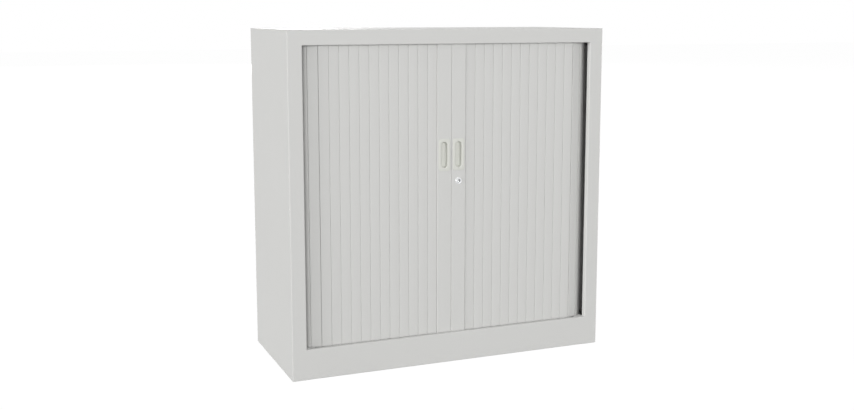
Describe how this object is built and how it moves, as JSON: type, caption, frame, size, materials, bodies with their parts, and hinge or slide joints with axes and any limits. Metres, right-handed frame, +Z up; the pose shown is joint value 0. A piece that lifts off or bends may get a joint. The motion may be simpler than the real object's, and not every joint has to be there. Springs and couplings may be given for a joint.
{
  "type": "tambour door cabinet",
  "caption": "Sheet steel storage cabinet with slatted curtain doors that slide sideways into side pockets, recessed pulls, a cam lock and shelves inside.",
  "frame": {"origin": "middle of the footprint, on the floor", "axes": "+Z up; the doors face -Y; +X to the right of someone facing the doors"},
  "size_m": [1, 0.43, 1],
  "materials": {
    "painted_steel": "satin",
    "slat_plastic": "satin",
    "pull_plastic": "satin",
    "chrome": "polished",
    "zinc_steel": "plated",
    "nylon": "matte",
    "track_plastic": "matte"
  },
  "bodies": {
    "case": {"left_side_panel": "painted_steel", "right_side_panel": "painted_steel", "top_panel": "painted_steel", "front_plinth": "painted_steel", "base_panel": "painted_steel", "head_panel": "painted_steel", "back_panel": "painted_steel", "left_liner": "painted_steel", "right_liner": "painted_steel", "shelf_lower": "painted_steel", "shelf_upper": "painted_steel", "left_bottom_track": "track_plastic", "right_bottom_track": "track_plastic", "left_top_track": "track_plastic", "right_top_track": "track_plastic", "left_front_foot": "zinc_steel", "left_rear_foot": "zinc_steel", "right_front_foot": "zinc_steel", "right_rear_foot": "zinc_steel"},
    "left_door": {"left_lead_slat": "slat_plastic", "left_handle": "pull_plastic", "left_bottom_glide": "nylon", "left_top_glide": "nylon", "left_keeper": "zinc_steel"},
    "right_door": {"right_lead_slat": "slat_plastic", "right_handle": "pull_plastic", "right_bottom_glide": "nylon", "right_top_glide": "nylon", "lock_body": "chrome", "lock_nut": "zinc_steel"},
    "lock": {"lock_plug": "chrome", "lock_cam": "zinc_steel"},
    "left_slat_01": {"left_slat_01": "slat_plastic"},
    "left_slat_02": {"left_slat_02": "slat_plastic"},
    "left_slat_03": {"left_slat_03": "slat_plastic"},
    "left_slat_04": {"left_slat_04": "slat_plastic"},
    "left_slat_05": {"left_slat_05": "slat_plastic"},
    "left_slat_06": {"left_slat_06": "slat_plastic"},
    "left_slat_07": {"left_slat_07": "slat_plastic"},
    "left_slat_08": {"left_slat_08": "slat_plastic"},
    "left_slat_09": {"left_slat_09": "slat_plastic"},
    "left_slat_10": {"left_slat_10": "slat_plastic"},
    "left_slat_11": {"left_slat_11": "slat_plastic"},
    "left_slat_12": {"left_slat_12": "slat_plastic"},
    "left_slat_13": {"left_slat_13": "slat_plastic"},
    "left_slat_14": {"left_slat_14": "slat_plastic"},
    "right_slat_01": {"right_slat_01": "slat_plastic"},
    "right_slat_02": {"right_slat_02": "slat_plastic"},
    "right_slat_03": {"right_slat_03": "slat_plastic"},
    "right_slat_04": {"right_slat_04": "slat_plastic"},
    "right_slat_05": {"right_slat_05": "slat_plastic"},
    "right_slat_06": {"right_slat_06": "slat_plastic"},
    "right_slat_07": {"right_slat_07": "slat_plastic"},
    "right_slat_08": {"right_slat_08": "slat_plastic"},
    "right_slat_09": {"right_slat_09": "slat_plastic"},
    "right_slat_10": {"right_slat_10": "slat_plastic"},
    "right_slat_11": {"right_slat_11": "slat_plastic"},
    "right_slat_12": {"right_slat_12": "slat_plastic"},
    "right_slat_13": {"right_slat_13": "slat_plastic"},
    "right_slat_14": {"right_slat_14": "slat_plastic"}
  },
  "joints": [
    {"name": "left_door_slide", "type": "slide", "parent": "case", "child": "left_door", "axis": [-1, 0, 0], "range_m": [0, 0.376], "deforming": ["left_slat_01", "left_slat_02", "left_slat_03", "left_slat_04", "left_slat_05", "left_slat_06", "left_slat_07", "left_slat_08", "left_slat_09", "left_slat_10", "left_slat_11", "left_slat_12", "left_slat_13", "left_slat_14"]},
    {"name": "right_door_slide", "type": "slide", "parent": "case", "child": "right_door", "axis": [1, 0, 0], "range_m": [0, 0.376], "deforming": ["right_slat_01", "right_slat_02", "right_slat_03", "right_slat_04", "right_slat_05", "right_slat_06", "right_slat_07", "right_slat_08", "right_slat_09", "right_slat_10", "right_slat_11", "right_slat_12", "right_slat_13", "right_slat_14"]},
    {"name": "lock_turn", "type": "hinge", "parent": "right_door", "child": "lock", "pos_m": [0.023, -0.19, 0.551], "axis": [0, -1, 0], "range_deg": [0, 90]},
    {"name": "left_slat_01_slide", "type": "slide", "parent": "case", "child": "left_slat_01", "axis": [-0.9743, 0.2254, 0], "range_m": [0, 0.41537]},
    {"name": "left_slat_02_slide", "type": "slide", "parent": "case", "child": "left_slat_02", "axis": [-0.9645, 0.2642, 0], "range_m": [0, 0.38848]},
    {"name": "left_slat_03_slide", "type": "slide", "parent": "case", "child": "left_slat_03", "axis": [-0.9513, 0.3082, 0], "range_m": [0, 0.36231]},
    {"name": "left_slat_04_slide", "type": "slide", "parent": "case", "child": "left_slat_04", "axis": [-0.9337, 0.3581, 0], "range_m": [0, 0.33701]},
    {"name": "left_slat_05_slide", "type": "slide", "parent": "case", "child": "left_slat_05", "axis": [-0.91, 0.4146, 0], "range_m": [0, 0.31281]},
    {"name": "left_slat_06_slide", "type": "slide", "parent": "case", "child": "left_slat_06", "axis": [-0.8781, 0.4784, 0], "range_m": [0, 0.28998]},
    {"name": "left_slat_07_slide", "type": "slide", "parent": "case", "child": "left_slat_07", "axis": [-0.8354, 0.5496, 0], "range_m": [0, 0.26887]},
    {"name": "left_slat_08_slide", "type": "slide", "parent": "case", "child": "left_slat_08", "axis": [-0.7786, 0.6275, 0], "range_m": [0, 0.24991]},
    {"name": "left_slat_09_slide", "type": "slide", "parent": "case", "child": "left_slat_09", "axis": [-0.7043, 0.7099, 0], "range_m": [0, 0.23364]},
    {"name": "left_slat_10_slide", "type": "slide", "parent": "case", "child": "left_slat_10", "axis": [-0.6096, 0.7927, 0], "range_m": [0, 0.22064]},
    {"name": "left_slat_11_slide", "type": "slide", "parent": "case", "child": "left_slat_11", "axis": [-0.4938, 0.8696, 0], "range_m": [0, 0.21152]},
    {"name": "left_slat_12_slide", "type": "slide", "parent": "case", "child": "left_slat_12", "axis": [-0.3576, 0.9339, 0], "range_m": [0, 0.20803]},
    {"name": "left_slat_13_slide", "type": "slide", "parent": "case", "child": "left_slat_13", "axis": [-0.2178, 0.976, 0], "range_m": [0, 0.20984]},
    {"name": "left_slat_14_slide", "type": "slide", "parent": "case", "child": "left_slat_14", "axis": [-0.102, 0.9948, 0], "range_m": [0, 0.21505]},
    {"name": "right_slat_01_slide", "type": "slide", "parent": "case", "child": "right_slat_01", "axis": [0.9743, 0.2254, 0], "range_m": [0, 0.41537]},
    {"name": "right_slat_02_slide", "type": "slide", "parent": "case", "child": "right_slat_02", "axis": [0.9645, 0.2642, 0], "range_m": [0, 0.38848]},
    {"name": "right_slat_03_slide", "type": "slide", "parent": "case", "child": "right_slat_03", "axis": [0.9513, 0.3082, 0], "range_m": [0, 0.36231]},
    {"name": "right_slat_04_slide", "type": "slide", "parent": "case", "child": "right_slat_04", "axis": [0.9337, 0.3581, 0], "range_m": [0, 0.33701]},
    {"name": "right_slat_05_slide", "type": "slide", "parent": "case", "child": "right_slat_05", "axis": [0.91, 0.4146, 0], "range_m": [0, 0.31281]},
    {"name": "right_slat_06_slide", "type": "slide", "parent": "case", "child": "right_slat_06", "axis": [0.8781, 0.4784, 0], "range_m": [0, 0.28998]},
    {"name": "right_slat_07_slide", "type": "slide", "parent": "case", "child": "right_slat_07", "axis": [0.8354, 0.5496, 0], "range_m": [0, 0.26887]},
    {"name": "right_slat_08_slide", "type": "slide", "parent": "case", "child": "right_slat_08", "axis": [0.7786, 0.6275, 0], "range_m": [0, 0.24991]},
    {"name": "right_slat_09_slide", "type": "slide", "parent": "case", "child": "right_slat_09", "axis": [0.7043, 0.7099, 0], "range_m": [0, 0.23364]},
    {"name": "right_slat_10_slide", "type": "slide", "parent": "case", "child": "right_slat_10", "axis": [0.6096, 0.7927, 0], "range_m": [0, 0.22064]},
    {"name": "right_slat_11_slide", "type": "slide", "parent": "case", "child": "right_slat_11", "axis": [0.4938, 0.8696, 0], "range_m": [0, 0.21152]},
    {"name": "right_slat_12_slide", "type": "slide", "parent": "case", "child": "right_slat_12", "axis": [0.3576, 0.9339, 0], "range_m": [0, 0.20803]},
    {"name": "right_slat_13_slide", "type": "slide", "parent": "case", "child": "right_slat_13", "axis": [0.2178, 0.976, 0], "range_m": [0, 0.20984]},
    {"name": "right_slat_14_slide", "type": "slide", "parent": "case", "child": "right_slat_14", "axis": [0.102, 0.9948, 0], "range_m": [0, 0.21505]}
  ],
  "couplings": [
    {"joint": "left_slat_01_slide", "follows": "left_door_slide", "ratio": 1.1034},
    {"joint": "left_slat_02_slide", "follows": "left_door_slide", "ratio": 1.0319},
    {"joint": "left_slat_03_slide", "follows": "left_door_slide", "ratio": 0.96226},
    {"joint": "left_slat_04_slide", "follows": "left_door_slide", "ratio": 0.89499},
    {"joint": "left_slat_05_slide", "follows": "left_door_slide", "ratio": 0.83062},
    {"joint": "left_slat_06_slide", "follows": "left_door_slide", "ratio": 0.7699},
    {"joint": "left_slat_07_slide", "follows": "left_door_slide", "ratio": 0.71375},
    {"joint": "left_slat_08_slide", "follows": "left_door_slide", "ratio": 0.66333},
    {"joint": "left_slat_09_slide", "follows": "left_door_slide", "ratio": 0.62004},
    {"joint": "left_slat_10_slide", "follows": "left_door_slide", "ratio": 0.58547},
    {"joint": "left_slat_11_slide", "follows": "left_door_slide", "ratio": 0.56123},
    {"joint": "left_slat_12_slide", "follows": "left_door_slide", "ratio": 0.55195},
    {"joint": "left_slat_13_slide", "follows": "left_door_slide", "ratio": 0.55675},
    {"joint": "left_slat_14_slide", "follows": "left_door_slide", "ratio": 0.57061},
    {"joint": "right_slat_01_slide", "follows": "right_door_slide", "ratio": 1.1034},
    {"joint": "right_slat_02_slide", "follows": "right_door_slide", "ratio": 1.0319},
    {"joint": "right_slat_03_slide", "follows": "right_door_slide", "ratio": 0.96226},
    {"joint": "right_slat_04_slide", "follows": "right_door_slide", "ratio": 0.89499},
    {"joint": "right_slat_05_slide", "follows": "right_door_slide", "ratio": 0.83062},
    {"joint": "right_slat_06_slide", "follows": "right_door_slide", "ratio": 0.7699},
    {"joint": "right_slat_07_slide", "follows": "right_door_slide", "ratio": 0.71375},
    {"joint": "right_slat_08_slide", "follows": "right_door_slide", "ratio": 0.66333},
    {"joint": "right_slat_09_slide", "follows": "right_door_slide", "ratio": 0.62004},
    {"joint": "right_slat_10_slide", "follows": "right_door_slide", "ratio": 0.58547},
    {"joint": "right_slat_11_slide", "follows": "right_door_slide", "ratio": 0.56123},
    {"joint": "right_slat_12_slide", "follows": "right_door_slide", "ratio": 0.55195},
    {"joint": "right_slat_13_slide", "follows": "right_door_slide", "ratio": 0.55675},
    {"joint": "right_slat_14_slide", "follows": "right_door_slide", "ratio": 0.57061}
  ]
}
